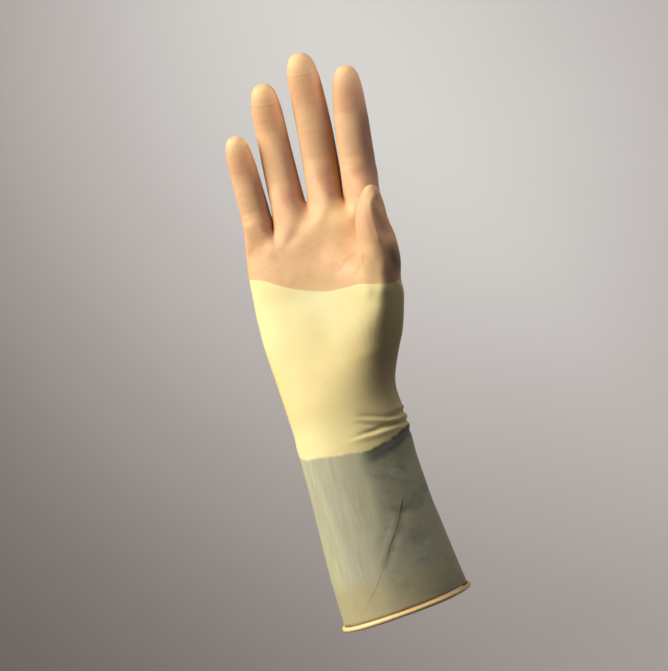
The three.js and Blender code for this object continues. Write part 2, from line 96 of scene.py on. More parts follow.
THUMB_START = 176
BALL = table(
    "z height at droop",
    (108, 0.4, 15, 0),
    (118, 1.2, 17, 0),
    (130, 3, 20, 0),
    (143, 6, 29.5, 0),
    (154, 10, 36.5, 3),
    (165, 14, 42, 7),
    (176, 13, 42, 9),
    (187, 6, 39, 0),
)

# The row where the fingers begin, without lean: a finger's two sides, then the middle of each finger.
FINGER_SIDES = table(
    "back crotch palm",
    ((52.4, 7.6, 214.5), (55, 0.5, 216.5), (52.8, -7.8, 216)),
    ((35.6, 8.6, 211.5), (35.6, 0, 219.8), (35.4, -8.2, 214.5)),
    ((15.8, 9.2, 213.5), (16.6, 0.6, 223.8), (16, -8.2, 218)),
    ((-5.4, 7.6, 206.5), (-5.2, -1.2, 215.6), (-5.6, -9, 210)),
    ((-20.4, 3.6, 207.5), (-23.2, -3.4, 209), (-20.4, -7.8, 209.5)),
)
FINGER_MIDDLES = table(
    "back palm",
    ((46.2, 11.6, 217), (45.6, -12, 218.5)),
    ((26, 13, 219), (26.2, -11.8, 220.5)),
    ((5.2, 11.4, 216.5), (5.4, -11.8, 217.5)),
    ((-13.6, 7, 210.5), (-13.4, -11.1, 212.5)),
)
FINGERS = table(
    "name tip joint root widths",
    ("index", (57.6, -6.5, 285), (51.8, 0.6, 254), (46.4, 0.2, 222), (15.9, 18.5, 19.8)),
    ("middle", (36, -8.2, 299.4), (32, 2, 257), (27, 1.2, 224), (17.2, 19, 19.5)),
    ("ring", (12.5, -8.5, 290.2), (8.9, 0.4, 256), (6, -0.2, 221), (16.4, 17.3, 19)),
    ("little", (-10.3, -12.5, 268.3), (-11.3, -4.6, 243), (-12.9, -3.2, 215), (15, 15.3, 16.8)),
)
FINGER_ROWS = table(
    "mm share wide pad back",
    (0.9, 0, 0.45, 0.43, 0.37),
    (4, 0, 0.735, 0.71, 0.6),
    (9.6, 0, 0.905, 0.88, 0.75),
    (17, 0, 0.98, 0.92, 0.86),
    (TIP_LENGTH, 0.2, 1, 0.89, 0.9),
    (TIP_LENGTH, 0.43, 1, 0.92, 0.91),
    (TIP_LENGTH, 0.67, 1, 0.94, 0.95),
    (TIP_LENGTH, 0.9, 1, 1.02, 0.98),
)
THUMB = table(
    "at wide back pad turn square",
    ((43, -29.8, 176), 9.8, 10, 9.8, 312, 2.3),
    ((44.8, -33.6, 190), 9.9, 8.6, 8.4, 311, 2.6),
    ((45.1, -36.2, 199.5), 8.5, 7.6, 7.7, 310, 2.8),
    ((46.7, -37.9, 207.5), 7.2, 6.3, 6.5, 310, 2.9),
    ((48.7, -39.1, 213.8), 5.5, 4.9, 4.7, 310, 2.7),
    ((50.5, -39.7, 217.9), 3.4, 3, 2.7, 310, 2.4),
)
THUMB_TIP = (51.2, -39.9, 219.4)
THUMB_POINTS = table(
    "point turn reach",
    (17, 195, 1.2),
    (18, 226, 1.04),
    (19, 266, 1.08),
    (0, 314, 1.04),
    (1, 24, 1.06),
)
# The thumb's centre line goes on into the palm by this share of its last step.
THUMB_LINE_BEYOND = 1.6
THUMB_WEB = ((34, -29, 184.5), (41, -22, 188), (47.5, -16, 184))

# Folds round the wrist. Each level is a direction in degrees, 0 at the thumb's side and -90 at the palm, with
# the fold's height there and how much of it shows. depth is positive for a ridge.
WRIST_FOLDS = table(
    "name depth half levels",
    ("upper crease", -0.95, 1.5,
     ((80, 99, 0), (20, 100.2, 0.6), (-20, 100.7, 0.9), (-28, 100.4, 1), (-39, 100.5, 0.9), (-49, 102.4, 0.6),
      (-62, 104.9, 0.35), (-76, 106.4, 0))),
    ("upper ridge", 0.75, 1.4,
     ((80, 97.5, 0), (20, 98.3, 0.6), (-10, 98.5, 1), (-28, 98.1, 1), (-40, 99.6, 1), (-54, 101.9, 0.9),
      (-71, 104.4, 0.3), (-82, 105.4, 0))),
    ("crease between", -0.45, 1.1,
     ((-36, 96.9, 0), (-42, 97.1, 0.6), (-52, 98.1, 1), (-62, 100.3, 0.8), (-70, 101.9, 0.3), (-78, 103, 0))),
    ("lower crease", -1, 1.2,
     ((80, 94, 0), (20, 94.8, 0.6), (-9, 95.2, 0.9), (-28, 95.6, 1), (-37, 95.8, 1), (-48, 96.4, 0.9),
      (-61, 96.2, 0.8), (-70, 96.4, 0.45), (-81, 96, 0.2), (-100, 95.8, 0))),
    ("lower ridge", 0.65, 1.8,
     ((80, 92.2, 0), (20, 93.2, 0.6), (-27, 94, 1), (-41, 94, 1), (-55, 93.8, 1), (-71, 94.3, 0.8),
      (-88, 94.6, 0.4), (-108, 95.4, 0))),
    ("pleat", 0.6, 0.9,
     ((12, 102.2, 0), (-5, 103, 0.8), (-15, 103.6, 1), (-21, 103.7, 0.7), (-32, 104.1, 0))),
    ("lip under the folds", -0.5, 1.4,
     ((60, 88.5, 0), (20, 89.5, 0.8), (-25, 89.5, 1), (-45, 88, 0.8), (-60, 86.4, 0.4), (-80, 86, 0))),
)

# The long sharp crease down the sleeve, as x and z, and where its sides swell and sink.
SLEEVE_CREASE = (
    (17, 59), (10.3, 46.8), (5.4, 40.1), (1.9, 35.8), (-2.1, 29.6), (-4.6, 26.2), (-7.8, 22.5),
    (-11.5, 17.5), (-17.5, 11.9), (-25.8, 3),
)
UPPER_CREASE = SLEEVE_CREASE[:5] + SLEEVE_CREASE[6:7]
BESIDE_CREASE = [(x - 1.4, z + 1) for x, z in UPPER_CREASE]
BEYOND_CREASE = [(x + 1.4, z - 1) for x, z in UPPER_CREASE]

# Sunken folds narrower than this get painted shade in them.
WIDEST_CREASE = 1.5
# Folds seen from the palm side, each along a line of x and z whose ends fade over a share of it.
LINE_FOLDS = table(
    "name depth half fade line",
    ("below the last web", -0.25, 2.6, 0.35, ((-5.2, 217), (-9.5, 212.5), (-12.2, 208), (-14, 203.5))),
    ("beside the last web", 0.9, 3.6, 0.35, ((0.5, 217), (-3, 212), (-9.5, 205.5), (-15.5, 198.5))),
    ("below the third web", -0.9, 3.8, 0.35, ((15.5, 221), (13.5, 217), (8, 211.8), (2.4, 207.2), (-6, 201))),
    ("below the first web", -0.5, 4.2, 0.4, ((34, 220.5), (30, 216.5), (25.1, 212.9), (18.9, 205))),
    ("below the fingers", -1, 9, 0.3, ((-2, 210), (8, 212.5), (20, 215), (32, 216), (43, 215))),
    ("round the ball", -0.3, 3.2, 0.3, ((34.6, 193), (30, 190.5), (25.7, 188), (16.4, 181))),
    ("palm line", -0.16, 1.2, 0.2, ((34.6, 190), (31.8, 188.9), (28.1, 187.3), (24.2, 185.3), (19, 181.5))),
    ("thumb fold", -0.18, 1.2, 0.2,
     ((34.9, 187.5), (34.4, 184.4), (32.7, 181.7), (29.4, 178.8), (26.1, 177.4))),
    ("thumb crest", 0.85, 1.3, 0.15,
     ((52.4, 216.9), (50.4, 214.1), (47.9, 211), (46.7, 206.9), (46, 201.3), (45.9, 194.3), (46, 188.4))),
    ("crest of the ball", 0.8, 2.7, 0.35,
     ((45.6, 200), (46.8, 193), (46.7, 186), (45.8, 181.5), (42.6, 175.4), (41.3, 169.5), (38.8, 164.5),
      (35.4, 158.1), (32.6, 152.5))),
    ("rise across the ball", 0.85, 4.8, 0.3, ((28, 168.6), (46, 164.6))),
    ("dip across the ball", -0.3, 4.5, 0.3, ((28, 179.7), (46, 176.3))),
    ("below the knuckle", -0.9, 4.5, 0.4, ((52.5, 188), (52, 182), (50.5, 175))),
    ("beside the crease", 0.25, 1.6, 0.25, BESIDE_CREASE),
    ("beyond the crease", -0.2, 1.8, 0.25, BEYOND_CREASE),
    ("band across", -0.3, 1.8, 0.3, ((6.7, 35.6), (11.8, 34.3), (15.6, 33.4), (25.9, 33.5))),
    ("second band across", -0.25, 1.6, 0.3, ((9, 52), (14, 51), (20, 49.5), (28, 50))),
    ("third band across", 0.25, 1.8, 0.3, ((10, 71), (16, 69.5), (22, 66), (28, 64))),
)
# Where the sleeve turns darker towards the thumb's side, as z and x: partly painted shade, partly a deeper
# tint.
SLEEVE_SHADE = ((0, -10), (22, -8), (37, -5.5), (46, -1.1), (56, 2.3), (74, 2.7), (84, 2.6), (92, 4))
SHADE_FADE = (-3.5, 4.5)

# Places along each digit, in mm from its tip: the end of the yellow cap, the outer and the inner crease.
DIGIT_MARKS = table(
    "name cap outer inner",
    ("index", 5.5, 24, 50),
    ("middle", 9, 27, 58),
    ("ring", 8.5, 25, 55),
    ("little", 6, 20, 43),
    ("thumb", 3.5, 29, 58),
)
# Creases across each digit's palm side, so far beyond a mark. waver says which way their edge swings.
DIGIT_CREASES = table(
    "mark beyond waver depth half",
    ("cap", 0, 1, 0.05, 0.9),
    ("outer", 0, 1, 0.1, 1.6),
    ("inner", 0, 1, 0.17, 1.7),
    ("inner", 3.6, -1, 0.11, 1.4),
)
CREASE_WAVER = {"mm": 0.5, "per_mm": 0.9}
# Bands along the digits, centred so far beyond the middle of two marks. The swelling's amount is in mm.
# The flushes are a pinker tint; the bands above and of the root add painted shade, and the light at the root
# takes some away.
DIGIT_BANDS = table(
    "name first second beyond half amount",
    ("swelling", "outer", "inner", 0, 8, 0.25),
    ("flush of the end", "cap", "outer", 1, 9, 0.8),
    ("flush of the root", "inner", "inner", 12, 12, 0.5),
    ("dusk above the root", "inner", "inner", -9, 11, 0.2),
    ("dusk of the root", "inner", "inner", 11, 9, 0.5),
    ("light at the root", "inner", "inner", 13, 10, 0.45),
)
# The painted shade down a finger's side begins and is full so far beyond the outer crease.
PAINTED_SIDE_SHADE = {"from": -8, "full": 9, "amount": 0.9}
# The share of a root's painted shade that goes where the surface faces the thumb's side.
LESS_ROOT_SHADE = 0.6
# How far from its centre line a digit's details reach, and over how much of it they fade.
DIGIT_REACH = 14.5
DIGIT_FADE = 3
# How far a surface has to turn, to the palm or to the thumb's side, for a detail to begin and to be full.
FACING = {
    "folds": (0.05, 0.45),
    "digit creases": (-0.1, 0.5),
    "patches": (-0.1, 0.3),
    "sleeve shade": (-0.9, 0.3),
    "side dusk": (-0.05, 0.55),
    "root dusk": (-0.45, 0),
    "less root dusk": (0.1, 0.7),
}
# Ripples: their height in mm, their size along each axis in mm, and a number that sets them apart.
RIPPLES = {
    "slack": (0.16, (9, 9, 55), 1),
    "fine slack": (0.06, (3.6, 3.6, 34), 2),
    "hand": (0.12, (9, 9, 14), 3),
    "bare edge": (0.3, (8, 8, 8), 4),
    "sleeve edge": (0.5, (2.6, 2.6, 8), 5),
    "sleeve shade": (1.5, (5, 5, 9), 6),
}
# Heights over which the sleeve's slack begins above the rim and ends below the folds.
SLACK_FROM = (2, 12)
SLACK_TO = (84, 96)
# Where the lines round the caps show: mm past the cap's end, and how far to each side.
CAP_LINE_ZONE = (1.5, 5)
# The value of a distance field where its detail doesn't show.
FAR = 100
# The bead is a little uneven, in waves round the opening: shares of its radius, and its height in mm.
BEAD_SWELLS = table("count amount start", (5, 0.035, 0), (13, 0.025, 1))
BEAD_RISE = {"count": 3, "mm": 0.12, "start": 0.5}

# The two edges between the tints, as x and z seen from the palm side, and how far their corners are rounded.
BARE_EDGE = (
    (-31, 195.2), (-26.1, 193.5), (-20.9, 191.6), (-15.6, 188.1), (-10.4, 184.1), (-5.1, 180.8), (0.5, 178.3),
    (6.2, 176), (12, 174.2), (18.6, 173), (29, 172.5), (34.1, 171), (39.1, 169), (47.4, 167.1), (51.5, 168.5),
)
BARE_EDGE_ROUND = 4
SLEEVE_EDGE_ROUND = 1.5
SLEEVE_EDGE = (
    (-30.8, 94.6), (-27.2, 91.7), (-18.9, 91.2), (-10.1, 89.3), (-3.8, 88.8), (3.2, 87.2), (13.6, 88.1),
    (18.6, 88.4), (23.5, 90.6), (27.2, 91.9), (31.1, 93.5),
)
# Patches of painted shadow and painted light, seen from the palm side. Where dark is negative they are
# painted light.
# Most lie on and round the thumb; by its nail the painted shadow is partly the nail's own tint under the
# film.
LIGHT_AND_SHADE_PATCHES = table(
    "x z half_x half_z dark",
    (50.4, 179.5, 5, 10.5, 0.97),
    (49.8, 198, 3.2, 5, 0.4),
    (48.6, 205, 1.6, 4.5, 0.45),
    (51.4, 212.5, 1.6, 3.5, 0.35),
    (50.5, 190, 4.5, 3.5, -0.4),
    (2, 211.5, 4.5, 5, 0.2),
    (28, 208, 9, 7, -0.8),
    (42, 185, 3.2, 8, -0.45),
    (36, 173, 5, 4.5, -0.6),
    (5, 172, 10, 9, -1),
)


class Cage:
    """A mesh made ring by ring."""

    def __init__(self):
        self.points = []
        self.faces = []

    def add(self, points):
        first = len(self.points)
        self.points += [np.array(p, float) for p in points]
        return list(range(first, len(self.points)))

    def bridge(self, lower, upper):
        for i in range(len(lower)):
            j = (i + 1) % len(lower)
            self.faces.append((lower[i], lower[j], upper[j], upper[i]))

    def close_tip(self, loop, tip):
        (centre,) = self.add([tip])
        for i in range(0, len(loop), 2):
            self.faces.append((loop[i], loop[i + 1], loop[(i + 2) % len(loop)], centre))


def finer(rows, wanted):
    """The rows with one more, halfway, before each row for which wanted is true."""
    out = rows[:1]
    for before, row in zip(rows, rows[1:]):
        if wanted(before, row):
            out.append({key: (before[key] + row[key]) / 2 for key in row})
        out.append(row)
    return out


def leaned(point):
    x, y, z = point
    return np.array((x, y - PALM_LEAN * (x - PALM_MIDDLE), z), float)


def fingers_row():
    ring = [FINGER_SIDES[0]["crotch"]]
    for side, middle in zip(FINGER_SIDES, FINGER_MIDDLES):
        ring += [side["back"], middle["back"]]
    last = FINGER_SIDES[4]
    ring += [last["back"], last["crotch"], last["palm"]]
    for side, middle in zip(FINGER_SIDES[3::-1], FINGER_MIDDLES[::-1]):
        ring += [middle["palm"], side["palm"]]
    return [leaned(p) for p in ring]


def section_ring(row, top_row):
    ball = {key: np.interp(row["z"], [b["z"] for b in BALL], [b[key] for b in BALL]) for key in BALL[0]}
    if not BALL[0]["z"] <= row["z"] <= BALL[-1]["z"]:
        ball["height"] = ball["droop"] = 0
    middle = (row["left"] + row["right"]) / 2
    half = (row["right"] - row["left"]) / 2
    arc = np.clip((row["z"] - ARC_START) / (FINGERS_HEIGHT - ARC_START), 0, 1) ** ARC_POWER
    slope = CUFF_SLOPE if row["z"] == SLEEVE_END else 0
    points = []
    for k in range(AROUND):
        share = SPREAD[k if k <= AROUND // 2 else AROUND - k]
        on_palm = k > AROUND // 2
        x = middle + half * share
        square = row["square"]
        depth = (row["palm"] if on_palm else row["back"]) * max(0, 1 - abs(share) ** square) ** (1 / square)
        spread = BALL_SPREAD["palm" if x < ball["at"] else "side"]
        rise = ball["height"] * math.exp(-(((x - ball["at"]) / spread) ** 2)) if on_palm or k == 0 else 0
        forward = row["lean"] * (x - middle) + rise + ball["droop"] * max(0, share) ** 3
        y = (-depth if on_palm else depth) - forward
        points.append((x, y, row["z"] + slope * x + arc * (top_row[k][2] - FINGERS_HEIGHT)))
    return points


def open_for_thumb(points):
    x, y, z = THUMB[0]["at"]
    for row in THUMB_POINTS:
        turn = math.radians(row["turn"])
        reach = THUMB[0]["wide"] * row["reach"]
        points[row["point"]] = (x + reach * math.cos(turn), y + reach * math.sin(turn), z)


def lengths_along(line):
    """How far along a line each of its points is."""
    return np.concatenate(([0], np.cumsum(np.linalg.norm(np.diff(line, axis=0), axis=1))))


def evenly(line, count):
    """Points at equal steps along a line, and its length."""
    lengths = lengths_along(line)
    places = np.linspace(0, lengths[-1], count)
    return np.stack([np.interp(places, lengths, line[:, i]) for i in range(3)], axis=1), lengths[-1]


def finger_line(finger, count=200):
    """A finger's centre line from its tip, and its length."""
    tip, joint, root = (leaned(finger[key]) for key in ("tip", "joint", "root"))
    control = 2 * joint - 0.5 * tip - 0.5 * root
    t = np.linspace(0, 1, count)[:, None]
    return evenly((1 - t) ** 2 * tip + 2 * t * (1 - t) * control + t**2 * root, count)


def line_at(line, t):
    """A line's point and direction at a share of its length."""
    place = t * (len(line) - 1)
    i = min(int(place), len(line) - 2)
    step = line[i + 1] - line[i]
    return line[i] + step * (place - i), step / np.linalg.norm(step)


def unit(vector):
    return vector / np.linalg.norm(vector)


def digit_section(centre, first, second, reach, square):
    """Eight points of a section. reach holds its half widths along +first, +second, -first and -second."""
    points = []
    for i in range(DIGIT_AROUND):
        angle = 2 * math.pi * i / DIGIT_AROUND
        c, s = math.cos(angle), math.sin(angle)
        scale = (abs(c) ** square + abs(s) ** square) ** (-1 / square)
        a = reach[0] if c > 0 else reach[2]
        b = reach[1] if s > 0 else reach[3]
        points.append(centre + first * (a * c * scale) + second * (b * s * scale))
    return points


def finger_section(finger, line, length, row):
    t = (row["mm"] + row["share"] * (length - TIP_LENGTH)) / length
    centre, direction = line_at(line, t)
    along = -direction
    side = unit(np.cross((PALM_LEAN, 1, 0), along))
    back = unit(np.cross(along, side))
    half = np.interp(t, (0, 0.5, 1), finger["widths"]) / 2
    reach = [half * row[key] for key in ("wide", "back", "wide", "pad")]
    return digit_section(centre, side, back, reach, FINGER_SQUARE)


def thumb_section(index):
    row = THUMB[index]
    after = THUMB[index + 1]["at"] if index + 1 < len(THUMB) else THUMB_TIP
    along = unit(np.subtract(after, THUMB[index - 1]["at"]))
    turn = math.radians(row["turn"])
    back = np.array((math.cos(turn), math.sin(turn), 0))
    back = unit(back - along * back.dot(along))
    side = unit(np.cross(along, back))
    reach = [row[key] for key in ("back", "wide", "pad", "wide")]
    return digit_section(np.array(row["at"], float), back, side, reach, row["square"])


def glove_cage():
    cage = Cage()
    top_row = fingers_row()
    sections = finer(SECTIONS, lambda low, high: low["z"] < ARC_START and high["z"] > low["z"] + LONG_STEP)
    below = None
    for row in sections:
        points = section_ring(row, top_row)
        if row["z"] == THUMB_START:
            open_for_thumb(points)
        ring = cage.add(points)
        if below:
            cage.bridge(below, ring)
        below = ring
        if row["z"] == THUMB_START:
            web = cage.add(THUMB_WEB)
            opening = [ring[point["point"]] for point in THUMB_POINTS]
            thumb = opening[3:] + web[::-1] + opening[:3]
            below = [web[2], *ring[1:18], web[0], web[1]]
    row = cage.add(top_row)
    cage.bridge(below, row)
    crotches = cage.add(leaned(side["crotch"]) for side in FINGER_SIDES[1:4])
    inner = [row[0], *crotches, row[10]]
    finger_rows = finer(FINGER_ROWS, lambda before, row: row["share"] > 0)
    for i, finger in enumerate(FINGERS):
        loop = [inner[i], *row[1 + 2 * i : 4 + 2 * i], inner[i + 1], *row[17 - 2 * i : 20 - 2 * i]]
        line, length = finger_line(finger)
        for section in reversed(finger_rows):
            ring = cage.add(finger_section(finger, line, length, section))
            cage.bridge(loop, ring)
            loop = ring
        cage.close_tip(loop, leaned(finger["tip"]))
    for i in range(1, len(THUMB)):
        ring = cage.add(thumb_section(i))
        cage.bridge(thumb, ring)
        thumb = ring
    cage.close_tip(thumb, THUMB_TIP)
    return cage


def limit_matrix(count, faces):
    """The matrix that takes a cage's points to where they end up on the smooth surface."""
    near = [set() for _ in range(count)]
    far = [[] for _ in range(count)]
    uses = {}
    for face in faces:
        for i, a in enumerate(face):
            b = face[(i + 1) % 4]
            near[a].add(b)
            near[b].add(a)
            far[a].append(face[(i + 2) % 4])
            key = (min(a, b), max(a, b))
            uses[key] = uses.get(key, 0) + 1
    rim = [[] for _ in range(count)]
    for (a, b), faces_here in uses.items():
        if faces_here == 1:
            rim[a].append(b)
            rim[b].append(a)
    matrix = np.zeros((count, count))
    for i in range(count):
        if rim[i]:
            matrix[i, i] = 4 / 6
            matrix[i, rim[i]] = 1 / 6
            continue
        n = len(near[i])
        total = n * (n + 5)
        matrix[i, i] = n * n / total
        matrix[i, list(near[i])] = 4 / total
        for j in far[i]:
            matrix[i, j] += 1 / total
    return matrix


def fitted(cage, rounds=14):
    """The cage's points, moved until the smooth surface passes through where they stood."""
    targets = np.array(cage.points)
    matrix = limit_matrix(len(targets), cage.faces)
    points = targets.copy()
    for _ in range(rounds):
        points += targets - matrix @ points
    return points


def added(name, data):
    """A new object in the scene."""
    made = bpy.data.objects.new(name, data)
    bpy.context.scene.collection.objects.link(made)
    return made


def added_mesh(name, points, faces):
    mesh = bpy.data.meshes.new(name)
    mesh.from_pydata([tuple(p) for p in points], [], faces)
    mesh.polygons.foreach_set("use_smooth", [True] * len(mesh.polygons))
    return added(name, mesh)


def smooth_surface(points, faces, level):
    """The smooth surface of a cage as arrays of points and quads, in millimetres."""
    holder = added_mesh("cage", points, faces)
    smooth = holder.modifiers.new("smooth", "SUBSURF")
    smooth.levels = smooth.render_levels = level
    smooth.use_limit_surface = True
    smooth.quality = 5
    made = holder.evaluated_get(bpy.context.evaluated_depsgraph_get()).to_mesh()
    co = np.empty(len(made.vertices) * 3)
    made.vertices.foreach_get("co", co)
    quads = np.empty(len(made.polygons) * 4, int)
    made.polygons.foreach_get("vertices", quads)
    bpy.data.meshes.remove(holder.data)
    return co.reshape(-1, 3), quads.reshape(-1, 4)


def normals_of(points, quads):
    a, b, c, d = (points[quads[:, i]] for i in range(4))
    faces = np.cross(c - a, d - b)
    normals = np.zeros_like(points)
    for i in range(4):
        np.add.at(normals, quads[:, i], faces)
    return normals / np.linalg.norm(normals, axis=1)[:, None]


def rim_of(quads):
    """The open edge's point numbers in order, in the direction of its faces."""
    starts = quads.ravel()
    ends = np.roll(quads, -1, axis=1).ravel()
    taken = set(zip(starts.tolist(), ends.tolist()))
    following = {a: b for a, b in taken if (b, a) not in taken}
    first = min(following)
    loop = [first]
    while following[loop[-1]] != first:
        loop.append(following[loop[-1]])
    return loop


def bell(distance, half):
    return np.exp(-((distance / half) ** 2))


def smoothstep(value, low, high):
    t = np.clip((value - low) / (high - low), 0, 1)
    return t * t * (3 - 2 * t)


def rounded(x, line, reach):
    """The height of a line at each x, with its corners rounded off."""
    return np.mean([np.interp(x + shift, *zip(*line)) for shift in np.linspace(-reach, reach, 7)], axis=0)


def line_distance(x, z, line):
    """How far in mm each point is from a line seen from the palm side, the share along it, and its side."""
    line = np.array(line, float)
    steps = np.diff(line, axis=0)
    lengths = np.linalg.norm(steps, axis=1)
    before = lengths_along(line)
    best = np.full(len(x), np.inf)
    share = np.zeros(len(x))
    side = np.ones(len(x))
    for start, step, length, done in zip(line, steps, lengths, before):
        t = np.clip(((x - start[0]) * step[0] + (z - start[1]) * step[1]) / length**2, 0, 1)
        away = np.hypot(x - start[0] - step[0] * t, z - start[1] - step[1] * t)
        closer = away < best
        best = np.where(closer, away, best)
        share = np.where(closer, (done + t * length) / before[-1], share)
        turned = (x - start[0]) * step[1] - (z - start[1]) * step[0]
        side = np.where(closer, np.where(turned < 0, 1, -1), side)
    return best, share, side


def wrist_folds(points):
    """Height of the wrist's folds at each point, and how much painted shade goes into the sunken ones."""
    angle = np.degrees(np.arctan2(points[:, 1], points[:, 0]))
    height = np.zeros(len(points))
    dark = np.zeros(len(points))
    for fold in WRIST_FOLDS:
        directions, levels, shares = zip(*sorted(fold["levels"]))
        level = np.interp(angle, directions, levels)
        shown = bell(points[:, 2] - level, fold["half"]) * np.interp(angle, directions, shares)
        height += fold["depth"] * shown
        if fold["depth"] < 0:
            dark += shown * min(1, -fold["depth"])
    return height, dark


def line_folds(points, normals):
    """Height of the folds along lines, and how much painted shade goes into the narrow sunken ones."""
    facing = smoothstep(-normals[:, 1], *FACING["folds"])
    height = np.zeros(len(points))
    dark = np.zeros(len(points))
    for fold in LINE_FOLDS:
        away, share, _ = line_distance(points[:, 0], points[:, 2], fold["line"])
        ends = smoothstep(share, 0, fold["fade"]) * smoothstep(1 - share, 0, fold["fade"])
        shown = bell(away, fold["half"]) * facing * ends
        height += fold["depth"] * shown
        if fold["depth"] < 0 and fold["half"] < WIDEST_CREASE:
            dark += shown
    return height, dark


def digit_lines():
    """The centre line of each digit from its tip. The thumb's goes on a little into the palm."""
    lines = {finger["name"]: finger_line(finger)[0] for finger in FINGERS}
    thumb = np.array([THUMB_TIP, *[row["at"] for row in reversed(THUMB)]])
    below = thumb[-1] + (thumb[-1] - thumb[-2]) * THUMB_LINE_BEYOND
    lines["thumb"] = evenly(np.vstack([thumb, below]), 120)[0]
    return lines


def digit_places(points):
    """For each point the nearest digit's number, the distance from its line, and mm from its tip."""
    nearest = np.full(len(points), np.inf)
    number = np.zeros(len(points), int)
    along = np.zeros(len(points))
    for i, mark in enumerate(DIGIT_MARKS):
        line = DIGIT_LINES[mark["name"]][::3]
        for place, done in zip(line, lengths_along(line)):
            away = np.linalg.norm(points - place, axis=1)
            closer = away < nearest
            nearest = np.where(closer, away, nearest)
            number = np.where(closer, i, number)
            along = np.where(closer, done, along)
    return number, nearest, along


def digit_fields(points, normals):
    """The nearest digit's name, the height and tints (painted shade among them) that it adds, and the place
    past its cap.
    """
    number, away, along = digit_places(points)
    name = np.array([mark["name"] for mark in DIGIT_MARKS])[number]
    marks = {key: np.array([mark[key] for mark in DIGIT_MARKS])[number] for key in ("cap", "outer", "inner")}
    on_digit = smoothstep(DIGIT_REACH - away, 0, DIGIT_FADE)
    palm_side = smoothstep(-normals[:, 1], *FACING["digit creases"])
    to_thumb = normals[:, 0]
    bands = {}
    for row in DIGIT_BANDS:
        centre = (marks[row["first"]] + marks[row["second"]]) / 2 + row["beyond"]
        bands[row["name"]] = row["amount"] * bell(along - centre, row["half"])
    waver = CREASE_WAVER["mm"] * np.sin(points[:, 0] * CREASE_WAVER["per_mm"] + marks["inner"])
    height = bands["swelling"] * palm_side
    for row in DIGIT_CREASES:
        past = along - marks[row["mark"]] - row["beyond"] + row["waver"] * waver
        height -= row["depth"] * bell(past, row["half"]) * palm_side
    flush = bands["flush of the end"] + bands["flush of the root"]
    # Painted shade down the side of a finger that faces the thumb's side, and at the roots.
    down_side = smoothstep(along - marks["outer"], PAINTED_SIDE_SHADE["from"], PAINTED_SIDE_SHADE["full"]) * (name != "thumb")
    dusk = PAINTED_SIDE_SHADE["amount"] * down_side * smoothstep(to_thumb, *FACING["side dusk"])
    dusk += bands["dusk above the root"]
    facing = smoothstep(to_thumb, *FACING["root dusk"])
    facing *= 1 - LESS_ROOT_SHADE * smoothstep(to_thumb, *FACING["less root dusk"])
    dusk += bands["dusk of the root"] * facing * np.isin(name, ("index", "middle", "ring"))
    dusk *= 1 - bands["light at the root"] * (name == "index")
    return {
        "name": name,
        "height": height * on_digit,
        "tip": np.where(on_digit > 0, along - marks["cap"], FAR),
        "flush": flush * on_digit,
        "dusk": dusk * on_digit,
    }


def ripples(points, name):
    """One kind of ripples at each point, in mm."""
    height, size, number = RIPPLES[name]
    shift = Vector((number * 7.1, number * 3.3, number * 5.7))
    return height * np.array([noise.noise(Vector(p) + shift) for p in points / np.array(size)])


def dress(points, normals):
    """How far each point moves along its normal, and the fields that the film's material reads."""
    folds, folds_shade = wrist_folds(points)
    lines, lines_shade = line_folds(points, normals)
    digits = digit_fields(points, normals)
    x, z = points[:, 0], points[:, 2]
    below_folds = 1 - smoothstep(z, *SLACK_TO)
    slack = ripples(points, "slack") + ripples(points, "fine slack")
    height = folds + lines + digits["height"] + slack * below_folds * smoothstep(z, *SLACK_FROM)
    height += ripples(points, "hand") * (1 - below_folds)
    seen = smoothstep(-normals[:, 1], *FACING["patches"])
    past, half = CAP_LINE_ZONE
    # Painted shadow and painted light in patches, on surfaces turned to the palm side.
    patch = np.zeros(len(points))
    for spot in LIGHT_AND_SHADE_PATCHES:
        away = np.hypot((x - spot["x"]) / spot["half_x"], (z - spot["z"]) / spot["half_z"])
        patch += spot["dark"] * seen * bell(away, 1)
    away, share, side = line_distance(x, z, SLEEVE_CREASE)
    shade_line = np.interp(z, *zip(*SLEEVE_SHADE)) + ripples(points, "sleeve shade")
    shade_side = smoothstep(-normals[:, 1], *FACING["sleeve shade"])
    fields = {
        "above_bare": z - rounded(x, BARE_EDGE, BARE_EDGE_ROUND) - ripples(points, "bare edge"),
        "above_sleeve": z - rounded(x, SLEEVE_EDGE, SLEEVE_EDGE_ROUND) - ripples(points, "sleeve edge"),
        # Painted shade in the sunken folds.
        "crease": np.minimum(folds_shade + lines_shade, 1.5),
        **{key: digits[key] for key in ("tip", "flush", "dusk")},
        "patch": patch,
        "crease_side": np.where(normals[:, 1] < 0, away * side, FAR),
        "crease_along": share,
        "shade": smoothstep(x - shade_line, *SHADE_FADE) * shade_side,
        # Where the painted highlight and shade lines round the cap show.
        "cap_line": bell(digits["tip"] - past, half) * np.isin(digits["name"], ("middle", "ring")) * seen,
    }
    return height, fields


def new_piece(name, points, faces, fields):
    """A piece from points in millimetres, with its fields as attributes."""
    piece = added_mesh(name, points * MM, faces)
    for key, values in fields.items():
        layer = piece.data.attributes.new(key, "FLOAT", "POINT")
        layer.data.foreach_set("value", values.astype(np.float32))
    return piece


def dressed(points, faces, level, inwards):
    """One side of the film: its points before and after its folds, its quads, open edge and fields."""
    plain, quads = smooth_surface(points, faces, level)
    normals = normals_of(plain, quads)
    height, fields = dress(plain, normals)
    return plain, plain + normals * (height - inwards)[:, None], quads, rim_of(quads), fields


